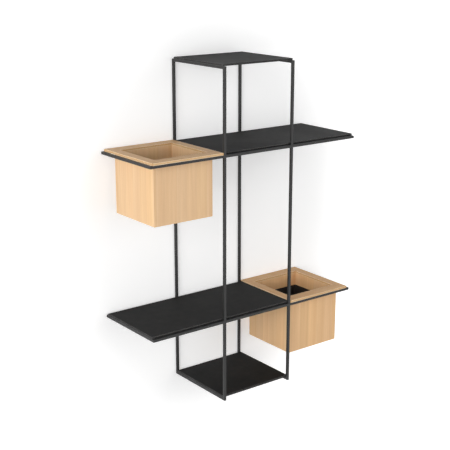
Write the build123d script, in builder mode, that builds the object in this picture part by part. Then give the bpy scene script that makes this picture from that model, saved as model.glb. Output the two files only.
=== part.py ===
"""Wall shelf: a tower of thin square bar with two level frames, four plates and two planters.

Frame: +X to the right, -Y out of the wall into the room, +Z up.
The origin is the centre of the four wall screw holes, on the wall plane.
"""

from build123d import *
import os

# Bar stock
bar = 5.5
bar_edge_radius = 0.5

# Tower, measured outside its bars
tower_width = 180.0
tower_depth = 180.0
tower_height = 703.5

# Level frames: undersides of their bars above the tower's foot, and reach past the tower
lower_level = 174.5
upper_level = 523.5
arm_reach = 174.5

# Gaps between the bars and a dropped-in planter rim, and between the bars and a plate
rim_gap = 1.0
plate_gap = 0.3

# Plates: shallow pans folded from sheet, lying on the bars that run front to back
plate_height = 4.2
plate_sheet = 1.2
plate_edge_radius = 0.8
plate_corner_radius = 1.5
plate_skirt = 1.5

# Ears welded under the back rails for the wall screws
ear_width = 14.0
ear_thickness = 2.0
ear_drop = 10.0
screw_hole_diameter = 5.0
screw_spacing = 80.0

# Planter boxes, hanging clear of the bars all round
box_clearance = 14.5
wall_height = 126.5
wall_thickness = 7.0
floor_thickness = 6.0
rim_thickness = 5.0
rim_edge_inset = 0.8
rim_edge_radius = 0.8

# Waterproof liners, loose in the boxes
liner_gap = 1.0
liner_wall = 1.5
liner_height = 92.0
liner_corner_radius = 5.0

# Places worked out from the sizes above
foot = ear_drop - (lower_level + upper_level) / 2
top = foot + tower_height
tower_middle = -tower_depth / 2
levels = {"lower": foot + lower_level, "upper": foot + upper_level}
sides = {"left": -1, "right": 1}
post_x = (tower_width - bar) / 2
front_y = -tower_depth + bar / 2
back_y = -bar / 2
bay_x = tower_width / 2 + (arm_reach - bar) / 2
box_width = arm_reach - bar - 2 * box_clearance
box_depth = tower_depth - 2 * bar - 2 * box_clearance

os.makedirs("parts", exist_ok=True)


def write(piece, label):
    piece.part.label = label
    export_step(piece.part, f"parts/{label}.step")


def make_bar(label, start, direction, length, mitres=()):
    """A square bar from start along direction. A mitre is a corner point and the side kept."""
    with BuildPart() as piece:
        with BuildSketch(Plane(origin=start, z_dir=direction)):
            RectangleRounded(bar, bar, bar_edge_radius)
        extrude(amount=length)
        for corner, kept_side in mitres:
            split(bisect_by=Plane(origin=corner, z_dir=kept_side), keep=Keep.TOP)
    write(piece, label)


def make_side_frame(side, sign):
    """Two posts, a top bar and a bottom bar with mitred corners, and two rungs between the posts."""
    x = sign * post_x
    for place, y, outer_y, inward in (("front", front_y, -tower_depth, 1), ("back", back_y, 0, -1)):
        post_mitres = [
            ((x, outer_y, foot), (0, -inward, 1)),
            ((x, outer_y, top), (0, -inward, -1)),
        ]
        make_bar(f"{side}_{place}_post", (x, y, foot), (0, 0, 1), tower_height, post_mitres)

    for place, z, outer_z, inward in (("bottom", foot + bar / 2, foot, 1), ("top", top - bar / 2, top, -1)):
        bar_mitres = [
            ((x, -tower_depth, outer_z), (0, 1, -inward)),
            ((x, 0, outer_z), (0, -1, -inward)),
        ]
        make_bar(f"{side}_{place}_bar", (x, -tower_depth, z), (0, 1, 0), tower_depth, bar_mitres)

    rung_length = tower_depth - 2 * bar
    for level, level_z in levels.items():
        start = (x, -tower_depth + bar, level_z + bar / 2)
        make_bar(f"{side}_{level}_rung", start, (0, 1, 0), rung_length)


def make_rails(level, level_z):
    """The front and back rails that join the two side frames at one level."""
    rail_length = tower_width - 2 * bar
    for place, y in (("front", front_y), ("back", back_y)):
        start = (-rail_length / 2, y, level_z + bar / 2)
        make_bar(f"{level}_{place}_rail", start, (1, 0, 0), rail_length)


def make_arms(level, level_z, side, sign):
    """The front arm, back arm and end bar that carry one overhanging end."""
    z = level_z + bar / 2
    post_face = sign * tower_width / 2
    end = post_face + sign * arm_reach
    for place, y, outer_y, inward in (("front", front_y, -tower_depth, 1), ("back", back_y, 0, -1)):
        arm_mitre = [((end, outer_y, z), (-sign, -inward, 0))]
        make_bar(f"{level}_{side}_{place}_arm", (post_face, y, z), (sign, 0, 0), arm_reach, arm_mitre)

    end_mitres = [
        ((end, -tower_depth, z), (sign, 1, 0)),
        ((end, 0, z), (sign, -1, 0)),
    ]
    end_start = (end - sign * bar / 2, -tower_depth, z)
    make_bar(f"{level}_{side}_end_bar", end_start, (0, 1, 0), tower_depth, end_mitres)


def make_plate(label, low_x, high_x, seat_z, skirt_spans=()):
    """A pan with its open side down, seated on the bars that run front to back.

    Between those bars its front and back flanges may drop a skirt that locates it.
    """
    width = high_x - low_x
    depth = tower_depth - 2 * (bar + plate_gap)
    middle_x = (low_x + high_x) / 2
    with BuildPart() as piece:
        with BuildSketch(Plane((middle_x, tower_middle, seat_z))):
            RectangleRounded(width, depth, plate_corner_radius)
        extrude(amount=plate_height)
        top_edges = piece.faces().sort_by(Axis.Z)[-1].edges()
        fillet(top_edges, plate_edge_radius)
        with BuildSketch(Plane((middle_x, tower_middle, seat_z))):
            Rectangle(width - 2 * plate_sheet, depth - 2 * plate_sheet)
        extrude(amount=plate_height - plate_sheet, mode=Mode.SUBTRACT)
        for span_start, span_end in skirt_spans:
            span_middle = (span_start + span_end) / 2
            with BuildSketch(Plane((span_middle, tower_middle, seat_z))):
                with GridLocations(0, depth - plate_sheet, 1, 2):
                    Rectangle(span_end - span_start, plate_sheet)
            extrude(amount=-plate_skirt)
    write(piece, label)


def make_ear(label, x, rail_underside):
    """A flat ear on the wall plane under a back rail, rounded below its screw hole."""
    hole_z = rail_underside - ear_drop
    with BuildPart() as piece:
        with BuildSketch(Plane((x, 0, hole_z), x_dir=(1, 0, 0), z_dir=(0, -1, 0))):
            with Locations((0, ear_drop / 2)):
                Rectangle(ear_width, ear_drop)
            Circle(ear_width / 2)
            Circle(screw_hole_diameter / 2, mode=Mode.SUBTRACT)
        extrude(amount=ear_thickness)
    write(piece, label)


def side_outline(place, outer_width, outer_depth):
    """Corners of one side of a mitred frame whose opening is the inside of the box."""
    inner_width = box_width - 2 * wall_thickness
    inner_depth = box_depth - 2 * wall_thickness
    outer = [(-outer_width / 2, -outer_depth / 2), (outer_width / 2, -outer_depth / 2)]
    outer += [(outer_width / 2, outer_depth / 2), (-outer_width / 2, outer_depth / 2)]
    inner = [(-inner_width / 2, -inner_depth / 2), (inner_width / 2, -inner_depth / 2)]
    inner += [(inner_width / 2, inner_depth / 2), (-inner_width / 2, inner_depth / 2)]
    first = ("front", "right", "back", "left").index(place)
    second = (first + 1) % 4
    return [outer[first], outer[second], inner[second], inner[first]]


def make_planter(level, level_z, x):
    """A wooden box with a wide rim that rests on the arms, and its liner."""
    rim_z = level_z + bar
    wall_z = rim_z - wall_height
    rim_width = arm_reach - bar - 2 * rim_gap
    rim_depth = tower_depth - 2 * rim_edge_inset
    inside_width = box_width - 2 * wall_thickness
    inside_depth = box_depth - 2 * wall_thickness

    for place in ("front", "right", "back", "left"):
        with BuildPart() as wall:
            with BuildSketch(Plane((x, tower_middle, wall_z))):
                with BuildLine():
                    Polyline(*side_outline(place, box_width, box_depth), close=True)
                make_face()
            extrude(amount=wall_height)
        write(wall, f"{level}_planter_{place}_wall")

        long_axis = Axis.X if place in ("front", "back") else Axis.Y
        with BuildPart() as rim:
            with BuildSketch(Plane((x, tower_middle, rim_z))):
                with BuildLine():
                    Polyline(*side_outline(place, rim_width, rim_depth), close=True)
                make_face()
            extrude(amount=rim_thickness)
            long_edges = rim.edges().filter_by(long_axis).group_by(Axis.Z)[-1]
            fillet(long_edges, rim_edge_radius)
        write(rim, f"{level}_planter_{place}_rim")

    with BuildPart() as base:
        with BuildSketch(Plane((x, tower_middle, wall_z))):
            Rectangle(inside_width, inside_depth)
        extrude(amount=floor_thickness)
    write(base, f"{level}_planter_floor")

    liner_width = inside_width - 2 * liner_gap
    liner_depth = inside_depth - 2 * liner_gap
    liner_z = wall_z + floor_thickness
    with BuildPart() as liner:
        with BuildSketch(Plane((x, tower_middle, liner_z))):
            RectangleRounded(liner_width, liner_depth, liner_corner_radius)
        extrude(amount=liner_height)
        with BuildSketch(Plane((x, tower_middle, liner_z + liner_wall))):
            RectangleRounded(
                liner_width - 2 * liner_wall,
                liner_depth - 2 * liner_wall,
                liner_corner_radius - liner_wall,
            )
        extrude(amount=liner_height - liner_wall, mode=Mode.SUBTRACT)
    write(liner, f"{level}_planter_liner")


# Frame
for side, sign in sides.items():
    make_side_frame(side, sign)

for level, level_z in levels.items():
    make_rails(level, level_z)
    for side, sign in sides.items():
        make_arms(level, level_z, side, sign)
        make_ear(f"{level}_{side}_wall_ear", sign * screw_spacing / 2, level_z)

# Plates: the shelf plates reach from the far side of the tower to the end of one overhang
half_tower = tower_width / 2
shelf_end = half_tower + arm_reach
tower_span = (-half_tower + bar + plate_gap, half_tower - bar - plate_gap)
right_span = (half_tower + plate_gap, shelf_end - bar - plate_gap)
left_span = (-right_span[1], -right_span[0])
make_plate("top_plate", -half_tower, half_tower, top)
make_plate("upper_shelf_plate", -half_tower, shelf_end, levels["upper"] + bar, (tower_span, right_span))
make_plate("lower_shelf_plate", -shelf_end, half_tower, levels["lower"] + bar, (left_span, tower_span))
make_plate("bottom_plate", -half_tower, half_tower, foot + bar)

# Planters, in the two ends that the shelf plates leave open
make_planter("upper", levels["upper"], -bay_x)
make_planter("lower", levels["lower"], bay_x)
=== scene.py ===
"""Looks of the wall shelf: powder-coated steel, oiled wood and moulded liners on a pale wall."""

import math

import bpy
from mathutils import Euler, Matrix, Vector


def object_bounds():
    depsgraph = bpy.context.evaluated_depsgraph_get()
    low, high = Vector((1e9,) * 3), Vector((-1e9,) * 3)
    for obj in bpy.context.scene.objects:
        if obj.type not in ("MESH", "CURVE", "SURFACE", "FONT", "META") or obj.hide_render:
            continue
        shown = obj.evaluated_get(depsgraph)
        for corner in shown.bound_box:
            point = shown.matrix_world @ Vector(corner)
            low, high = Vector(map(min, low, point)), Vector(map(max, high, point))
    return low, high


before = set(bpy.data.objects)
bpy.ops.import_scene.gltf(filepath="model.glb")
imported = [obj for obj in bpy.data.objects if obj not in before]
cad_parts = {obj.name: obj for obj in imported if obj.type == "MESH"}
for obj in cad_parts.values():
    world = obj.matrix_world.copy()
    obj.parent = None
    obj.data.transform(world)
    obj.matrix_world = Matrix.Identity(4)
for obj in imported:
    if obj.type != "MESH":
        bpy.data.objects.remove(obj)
cad_low, cad_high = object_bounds()
centre = (cad_low + cad_high) / 2
foot = Vector((centre.x, cad_high.y, cad_low.z))

# Camera, fitted to the shelf's own edges: place from the foot of the tower on the wall, in metres
CAMERA_FROM_FOOT = Vector((-1.27348, -1.74204, 0.93019))
CAMERA_YAW = math.radians(-37.19)
CAMERA_PITCH = math.radians(-15.51)
CAMERA_LENS = 80.83
CAMERA_SENSOR = 36.0

X, Y, Z = 0, 1, 2

# Stage: the wall hangs behind the shelf, the floor lies below it, and both glow to white away from its middle
WALL_GAP = 0.0005
FLOOR_DROP = 0.28
STAGE_REACH = 6.0
WALL_TOP = 4.0
WALL_TONE, FLOOR_TONE = (0.8, 0.8, 0.8, 1), (0.5, 0.5, 0.5, 1)
WALL_GLOW, FLOOR_GLOW, FAR_GLOW = 0.36, 0.55, 1.0
GLOW_SHAPE = (1.0, 0.7, 0.8)
GLOW_START, GLOW_END = 0.26, 0.60

# Lamps: place, side and power
KEY_LAMP = ((-2.6, -1.2, 0.45), 1.8, 54.0)
FILL_LAMP = ((1.3, -2.8, 0.4), 2.0, 20.0)

# Room light: strength at the skyline and overhead, what is added behind the wall, and what gloss mirrors
ROOM_LOW_HIGH = (0.576, 0.24)
ROOM_OVERHEAD = 0.9
ROOM_BEHIND = 0.35
ROOM_MIRRORED = 0.8

# Noise scales per metre and bump depths in metres: powder coat
CLOUD_SCALE, SPECKLE_SCALE, PEEL_SCALE = 9.0, 1500.0, 620.0
RUBBED_SCALE, DUST_SCALE = 28.0, 38.0
SPECKLE_DEPTH, PEEL_DEPTH = 0.000012, 0.00004

# Wood: across, along and through the grain
DRIFT_SCALE, BROAD_SCALE = (14.0, 2.2), (90.0, 3.5)
STREAK_SCALE, FIBRE_SCALE, FLECK_SCALE = (620.0, 14.0, 620.0), (2600.0, 90.0, 2600.0), (900.0, 260.0, 900.0)
RINGS_ACROSS, RINGS_THROUGH = 210.0, 260.0
HANDLED_SCALE = 60.0
SEAM_WIDTH = 0.00035
GRAIN_DEPTH = 0.00006

# Moulded plastic
SPARK_SCALE, SCUFF_SCALE, FLOW_SCALE = 1900.0, 90.0, (20.0, 20.0, 3.0)
SCUFF_REACH = 0.0015
SPARK_DEPTH = 0.00003


class Shader:
    """The node tree of a material or world, with short ways to add nodes and link them."""

    def __init__(self, owner):
        owner.use_nodes = True
        self.owner = owner
        self.tree = owner.node_tree
        self.tree.nodes.clear()

    def node(self, kind, inputs=None, **settings):
        made = self.tree.nodes.new(kind)
        for key, value in settings.items():
            setattr(made, key, value)
        for key, value in (inputs or {}).items():
            socket = made.inputs[key]
            if isinstance(value, bpy.types.NodeSocket):
                self.tree.links.new(value, socket)
            else:
                socket.default_value = value
        return made

    def math(self, operation, a, b=0.0, clamp=False):
        made = self.node("ShaderNodeMath", {0: a, 1: b}, operation=operation, use_clamp=clamp)
        return made.outputs[0]

    def vector(self, operation, a, b=(0.0, 0.0, 0.0), output="Vector"):
        made = self.node("ShaderNodeVectorMath", {0: a, 1: b}, operation=operation)
        return made.outputs[output]

    def noise(self, vector, scale, detail=2.0, roughness=0.5, distortion=0.0):
        inputs = {"Vector": vector, "Scale": scale, "Detail": detail}
        inputs.update({"Roughness": roughness, "Distortion": distortion})
        return self.node("ShaderNodeTexNoise", inputs).outputs[0]

    def spread(self, value, low, high, out_low=0.0, out_high=1.0):
        """value from low..high to out_low..out_high, held at both ends."""
        inputs = {"Value": value, "From Min": low, "From Max": high}
        inputs.update({"To Min": out_low, "To Max": out_high})
        return self.node("ShaderNodeMapRange", inputs).outputs[0]

    def mix(self, factor, a, b, blend="MIX"):
        inputs = {0: factor, 6: a, 7: b}
        made = self.node("ShaderNodeMix", inputs, data_type="RGBA", blend_type=blend)
        return made.outputs[2]

    def bump(self, height, distance, strength=1.0, normal=None):
        inputs = {"Height": height, "Distance": distance, "Strength": strength}
        if normal is not None:
            inputs["Normal"] = normal
        return self.node("ShaderNodeBump", inputs).outputs[0]

    def place(self):
        """The point in the shelf's frame, in metres."""
        return self.node("ShaderNodeTexCoord").outputs["Object"]

    def combine(self, x, y, z):
        return self.node("ShaderNodeCombineXYZ", {0: x, 1: y, 2: z}).outputs[0]

    def split(self, vector):
        return self.node("ShaderNodeSeparateXYZ", {0: vector}).outputs

    def stretched(self, parts, scales):
        """Each of the parts times its scale."""
        return [self.math("MULTIPLY", part, scale) for part, scale in zip(parts, scales)]

    def edges(self, radius, full=0.85, mitred=None):
        """1 on edges, 0 on the flat of a face. full is the cosine of the turn that makes a full edge.

        mitred is the axis along a mitred strip, whose cut ends then don't count as edges.
        """
        rounded = self.node("ShaderNodeBevel", {"Radius": radius}, samples=6).outputs[0]
        plain = self.node("ShaderNodeNewGeometry").outputs["True Normal"]
        facing = self.vector("DOT_PRODUCT", rounded, plain, "Value")
        edge = self.spread(facing, 0.995, full)
        if mitred is not None:
            leaning = self.math("ABSOLUTE", self.split(rounded)[mitred])
            edge = self.math("MULTIPLY", edge, self.spread(leaning, 0.02, 0.12, 1.0, 0.0))
        return edge

    def principled(self, tone, rough, normal, ior, gloss=0.5):
        inputs = {"Base Color": tone, "Roughness": rough, "Normal": normal}
        inputs.update({"IOR": ior, "Specular IOR Level": gloss})
        return self.surface(self.node("ShaderNodeBsdfPrincipled", inputs).outputs[0])

    def surface(self, shader, kind="ShaderNodeOutputMaterial"):
        self.node(kind, {"Surface": shader})
        return self.owner


def srgb(red, green, blue):
    """A colour from 0..255 display values, made linear."""
    shares = (c / 255 for c in (red, green, blue))
    return tuple(c / 12.92 if c <= 0.04045 else ((c + 0.055) / 1.055) ** 2.4 for c in shares) + (1.0,)


def scaled(colour, factor):
    return tuple(c * factor for c in colour[:3]) + (1.0,)


def powder_coat(name, colour, roughness, gloss, dust, wear_and_highlight):
    """Fine-textured black powder coat on steel, a little lighter and smoother along its edges: wear on the
    bars, and on the sheets a painted highlight along the plate edges.

    The last argument is what those edges take: a share of the lighter tone, their reach, and the cosine of a
    full edge.
    """
    share, reach, full = wear_and_highlight
    s = Shader(bpy.data.materials.new(name))
    place = s.place()
    cloud = s.noise(place, CLOUD_SCALE, 3.0, 0.55)
    speckle = s.noise(place, SPECKLE_SCALE, 2.0, 0.6)
    peel = s.noise(place, PEEL_SCALE, 2.0, 0.5)
    patchy = s.spread(s.noise(place, RUBBED_SCALE, 2.0, 0.5), 0.30, 0.70, 0.55, 1.0)
    rubbed_and_highlight = s.math("MULTIPLY", s.edges(reach, full), patchy)

    tone = s.mix(s.spread(cloud, 0.3, 0.7), scaled(colour, 0.86), scaled(colour, 1.16))
    pitted = s.mix(1.0, tone, (0.9, 0.9, 0.9, 1), "MULTIPLY")
    tone = s.mix(s.spread(speckle, 0.35, 0.65), pitted, tone)
    upward = s.split(s.node("ShaderNodeNewGeometry").outputs["Normal"])[Z]
    settled = s.spread(s.noise(place, DUST_SCALE, 5.0, 0.7), 0.4, 0.75, 0.0, dust)
    settled = s.math("MULTIPLY", settled, s.spread(upward, 0.6, 0.95))
    tone = s.mix(settled, tone, DUST_TONE)
    # Edges take the lighter rubbed tone: wear on the bars, and a painted highlight along the sheet plates'
    # edges
    tone = s.mix(s.math("MULTIPLY", rubbed_and_highlight, share), tone, RUBBED_AND_HIGHLIGHT_TONE)

    rough = s.spread(cloud, 0.3, 0.7, roughness - 0.04, roughness + 0.05)
    rough = s.math("ADD", rough, s.spread(speckle, 0.3, 0.7, -0.03, 0.03))
    rough = s.math("SUBTRACT", rough, s.math("MULTIPLY", rubbed_and_highlight, 0.10), clamp=True)
    normal = s.bump(speckle, SPECKLE_DEPTH, 0.6, s.bump(peel, PEEL_DEPTH, 0.55))
    return s.principled(tone, rough, normal, 1.5, gloss)


def wood(name, tones, wear_and_highlight, along, across, seed, stave, painted_shade_tint):
    """Pale hardwood glued up from staves, its grain along one axis of the frame.

    tones are its lightest and darkest. The third argument is what the edges take: a tone, the least and most
    of it, their reach, and the cosine of a full edge. On box walls that is a darker handled tone; on rims it
    is a pale painted highlight along the rounded arrises. The last argument tints the wood; on the lower
    planters that tint is painted shade.
    """
    light, dark = tones
    s = Shader(bpy.data.materials.new(name))
    place = s.split(s.place())
    u, v, w = place[across], place[along], place[X + Y + Z - along - across]

    # Staves: each has its own tone, its own hue and its own stretch of grain
    count = s.math("ADD", s.math("DIVIDE", u, stave), seed * 7.31)
    sway = s.math("MULTIPLY", s.math("SUBTRACT", s.noise(s.combine(seed, v, 0.0), 3.0, 1.0), 0.5), 0.02)
    index = s.math("FLOOR", s.math("ADD", count, sway))
    chance = {"Vector": s.combine(index, seed, 0.0)}
    own = s.node("ShaderNodeTexWhiteNoise", chance, noise_dimensions="3D").outputs["Color"]
    pick = s.node("ShaderNodeSeparateColor", {0: own}).outputs
    shift = s.math("MULTIPLY", index, 3.17)
    seam = s.math("ABSOLUTE", s.math("SUBTRACT", s.math("FRACT", s.math("ADD", count, sway)), 0.5))
    seam = s.spread(seam, 0.5 - SEAM_WIDTH / stave, 0.5)

    # Growth rings cut lengthwise, fibres, pores and ray flecks
    drift = s.noise(s.combine(*s.stretched((u, v), DRIFT_SCALE), shift), 1.0, 2.0)
    ring_at = s.math("ADD", s.math("MULTIPLY", u, RINGS_ACROSS), s.math("MULTIPLY", drift, 7.0))
    offset = s.math("ADD", s.math("MULTIPLY", w, RINGS_THROUGH), s.math("MULTIPLY", pick[2], 9.0))
    ring = s.spread(s.math("PINGPONG", s.math("ADD", ring_at, offset), 1.0), 0.1, 1.0)
    broad = s.noise(s.combine(*s.stretched((u, v), BROAD_SCALE), shift), 1.0, 3.0, 0.55)
    streak = s.noise(s.combine(*s.stretched((u, v, w), STREAK_SCALE)), 1.0, 3.0, 0.6, 0.2)
    fibre = s.noise(s.combine(*s.stretched((u, v, w), FIBRE_SCALE)), 1.0, 2.0, 0.6)
    fleck = s.noise(s.combine(*s.stretched((u, v, w), FLECK_SCALE)), 1.0, 1.0, 0.5)
    fleck = s.spread(fleck, 0.69, 0.76)

    tone = s.mix(s.spread(broad, 0.28, 0.72), light, dark)
    tone = s.mix(s.math("MULTIPLY", ring, 0.09), tone, scaled(dark, 0.80))
    tone = s.mix(s.spread(streak, 0.50, 0.78, 0.0, 0.20), tone, scaled(dark, 0.72))
    tone = s.mix(s.spread(fibre, 0.52, 0.80, 0.0, 0.16), tone, scaled(dark, 0.62))
    tone = s.mix(s.math("MULTIPLY", fleck, 0.28), tone, scaled(dark, 0.50))
    brightness = s.spread(pick[0], 0.0, 1.0, 0.965, 1.035)
    hue = s.mix(pick[1], (1.0, 0.985, 0.945, 1), (1.0, 1.0, 1.045, 1))
    # The tint warms the lower planters' wood as painted shade; the upper ones stay plain
    tone = s.mix(1.0, tone, s.mix(1.0, hue, painted_shade_tint, "MULTIPLY"), "MULTIPLY")
    tone = s.mix(1.0, tone, s.combine(brightness, brightness, brightness), "MULTIPLY")
    tone = s.mix(s.math("MULTIPLY", seam, 0.16), tone, scaled(dark, 0.60))

    rubbed_and_highlight, least, most, reach, full = wear_and_highlight
    patchy = s.spread(s.noise(s.place(), HANDLED_SCALE, 3.0), 0.35, 0.7, least, most)
    mitred = along if along != Z else None
    # Edges take the rubbed tone: a darker handled tone on box walls, and on the rims a pale painted highlight
    # along the rounded arrises
    tone = s.mix(s.math("MULTIPLY", s.edges(reach, full, mitred), patchy), tone, rubbed_and_highlight)

    rough = s.spread(streak, 0.3, 0.7, 0.44, 0.56)
    height = s.math("ADD", s.math("MULTIPLY", streak, 0.6), s.math("MULTIPLY", fibre, 0.5))
    height = s.math("SUBTRACT", height, s.math("MULTIPLY", fleck, 0.25))
    height = s.math("SUBTRACT", height, s.math("MULTIPLY", seam, 0.5))
    return s.principled(tone, rough, s.bump(height, GRAIN_DEPTH, 0.6), 1.46)


def moulded_plastic(name, colour):
    """Spark-textured plastic, with faint flow marks and paler scuffs on its rim."""
    s = Shader(bpy.data.materials.new(name))
    place = s.place()
    spark = s.noise(place, SPARK_SCALE, 2.0, 0.6)
    flow = s.noise(s.vector("MULTIPLY", place, FLOW_SCALE), 1.0, 3.0)
    patchy = s.spread(s.noise(place, SCUFF_SCALE, 4.0), 0.4, 0.65)
    scuffed = s.math("MULTIPLY", s.edges(SCUFF_REACH), patchy)
    tone = s.mix(s.spread(flow, 0.3, 0.7), scaled(colour, 0.88), scaled(colour, 1.14))
    tone = s.mix(s.math("MULTIPLY", scuffed, 0.35), tone, scaled(colour, 2.2))
    rough = s.spread(spark, 0.3, 0.7, 0.52, 0.66)
    return s.principled(tone, rough, s.bump(spark, SPARK_DEPTH, 0.5), 1.5)


def stage_material(name, colour, glow_near, seen_only):
    """Matt surface, clear from behind, with a painted glow that is weakest by the shelf's middle and grows to
    white far away. With seen_only it neither blocks nor bounces light.
    """
    s = Shader(bpy.data.materials.new(name))
    away = s.vector("MULTIPLY", s.vector("SUBTRACT", s.place(), centre), GLOW_SHAPE)
    inputs = {"Value": s.vector("LENGTH", away, output="Value"), "From Min": GLOW_START, "From Max": GLOW_END}
    inputs.update({"To Min": glow_near, "To Max": FAR_GLOW})
    glow = s.node("ShaderNodeMapRange", inputs, interpolation_type="SMOOTHERSTEP").outputs[0]
    path = s.node("ShaderNodeLightPath").outputs
    front = s.math("SUBTRACT", 1.0, s.node("ShaderNodeNewGeometry").outputs["Backfacing"])
    seen = s.math("MAXIMUM", path["Is Camera Ray"], path["Is Glossy Ray"])
    seen = s.math("MAXIMUM", seen, path["Is Transmission Ray"])
    shown = s.math("MULTIPLY", front, seen) if seen_only else front
    matt = s.node("ShaderNodeBsdfDiffuse", {"Color": colour}).outputs[0]
    strength = s.math("MULTIPLY", seen, glow)
    light = s.node("ShaderNodeEmission", {"Color": (1, 1, 1, 1), "Strength": strength}).outputs[0]
    lit = s.node("ShaderNodeAddShader", {0: matt, 1: light}).outputs[0]
    clear = s.node("ShaderNodeBsdfTransparent").outputs[0]
    return s.surface(s.node("ShaderNodeMixShader", {0: shown, 1: clear, 2: lit}).outputs[0])


def stage_plane(name, corners, material):
    mesh = bpy.data.meshes.new(name)
    mesh.from_pydata(corners, [], [(0, 1, 2, 3)])
    mesh.materials.append(material)
    plane = bpy.data.objects.new(name, mesh)
    bpy.context.scene.collection.objects.link(plane)


def lamp(name, place, side, power):
    """A square area lamp, aimed at the middle of the shelf."""
    light = bpy.data.lights.new(name, "AREA")
    light.size = side
    light.energy = power
    lamp_object = bpy.data.objects.new(name, light)
    lamp_object.location = place
    lamp_object.rotation_euler = (centre - Vector(place)).to_track_quat("-Z", "Y").to_euler()
    bpy.context.scene.collection.objects.link(lamp_object)


# Materials on the CAD nodes. The functions above say what the wear and highlight values are: the rim and
# sheet ones are painted highlights along edges
BOX_TONES = (srgb(243, 206, 160), srgb(232, 191, 144))
BOX_WORN = (scaled(BOX_TONES[1], 0.78), 0.0, 0.16, 0.0016, 0.85)
RIM_TONES = (srgb(226, 184, 130), srgb(208, 161, 107))
# Rim edges: a pale painted highlight along their rounded arrises
RIM_PAINTED_HIGHLIGHT = (srgb(255, 238, 206), 0.55, 1.0, 0.0028, 0.95)
BOX_STAVE, RIM_STAVE = 0.024, 0.05
# The lower planters' warmer tint is painted shade, the colour wood takes under the shelves
PAINTED_SHADE_TINTS = {"upper": (1.0, 1.0, 1.0, 1.0), "lower": (1.05, 1.0, 0.945, 1.0)}
BAR_BLACK, SHEET_BLACK = srgb(34, 34, 34), srgb(24, 24, 24)
LINER_BLACK = srgb(40, 37, 34)
# The rubbed tone and the edge shares below: wear on the bars, a painted highlight along the sheet plates'
# edges
DUST_TONE, RUBBED_AND_HIGHLIGHT_TONE = srgb(150, 147, 142), srgb(104, 103, 102)
BAR_WORN, SHEET_PAINTED_HIGHLIGHT = (0.20, 0.0012, 0.85), (0.75, 0.0032, 0.96)

bar_coat = powder_coat("bar_powder_coat", BAR_BLACK, 0.50, 0.40, 0.03, BAR_WORN)
sheet_coat_and_highlight = powder_coat("sheet_powder_coat_and_highlight", SHEET_BLACK, 0.70, 0.15, 0.02, SHEET_PAINTED_HIGHLIGHT)
liner_plastic = moulded_plastic("liner_plastic_grain", LINER_BLACK)

for order, (name, piece) in enumerate(sorted(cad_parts.items())):
    if name.endswith("_plate"):
        material = sheet_coat_and_highlight
    elif name.endswith("_liner"):
        material = liner_plastic
    elif "_planter_" in name:
        sideways, lengthways = (X, Y) if "_front_" in name or "_back_" in name else (Y, X)
        if name.endswith("_rim"):
            look = (RIM_TONES, RIM_PAINTED_HIGHLIGHT, sideways, lengthways, order, RIM_STAVE)
        elif name.endswith("_wall"):
            look = (BOX_TONES, BOX_WORN, Z, sideways, order, BOX_STAVE)
        else:
            look = (BOX_TONES, BOX_WORN, X, Y, order, BOX_STAVE)
        material = wood(name + "_wood", *look, PAINTED_SHADE_TINTS[name.split("_")[0]])
    else:
        material = bar_coat
    piece.data.materials.clear()
    piece.data.materials.append(material)

# Stage
wall_y = cad_high.y + WALL_GAP
floor_z = cad_low.z - FLOOR_DROP
left, right, near, far = -STAGE_REACH, STAGE_REACH, -STAGE_REACH, STAGE_REACH
stage_plane(
    "wall",
    [(left, wall_y, floor_z), (right, wall_y, floor_z), (right, wall_y, WALL_TOP), (left, wall_y, WALL_TOP)],
    stage_material("pale_wall", WALL_TONE, WALL_GLOW, True),
)
stage_plane(
    "floor",
    [(left, near, floor_z), (right, near, floor_z), (right, far, floor_z), (left, far, floor_z)],
    stage_material("pale_floor", FLOOR_TONE, FLOOR_GLOW, False),
)

# Light: a broad key from the left, a weaker fill from the right front and an even room
lamp("key", *KEY_LAMP)
lamp("fill", *FILL_LAMP)
world = bpy.data.worlds.new("room")
bpy.context.scene.world = world
room = Shader(world)
heading = room.split(room.node("ShaderNodeTexCoord").outputs["Generated"])
strength = room.spread(heading[Z], 0.0, ROOM_OVERHEAD, *ROOM_LOW_HIGH)
strength = room.math("ADD", strength, room.spread(heading[Y], 0.0, 1.0, 0.0, ROOM_BEHIND))
path = room.node("ShaderNodeLightPath").outputs
for ray, seen_as in (("Is Glossy Ray", ROOM_MIRRORED), ("Is Camera Ray", 1.0)):
    strength = room.node("ShaderNodeMix", {0: path[ray], 2: strength, 3: seen_as}).outputs[0]
backdrop = room.node("ShaderNodeBackground", {"Color": (1, 1, 1, 1), "Strength": strength}).outputs[0]
room.surface(backdrop, "ShaderNodeOutputWorld")

# Camera
camera_data = bpy.data.cameras.new("camera")
camera_data.lens = CAMERA_LENS
camera_data.sensor_width = CAMERA_SENSOR
camera_data.clip_end = 50.0
camera = bpy.data.objects.new("camera", camera_data)
camera.location = foot + CAMERA_FROM_FOOT
camera.rotation_euler = Euler((math.pi / 2 + CAMERA_PITCH, 0.0, CAMERA_YAW))
bpy.context.scene.collection.objects.link(camera)
bpy.context.scene.camera = camera
bpy.context.scene.view_settings.view_transform = "Standard"
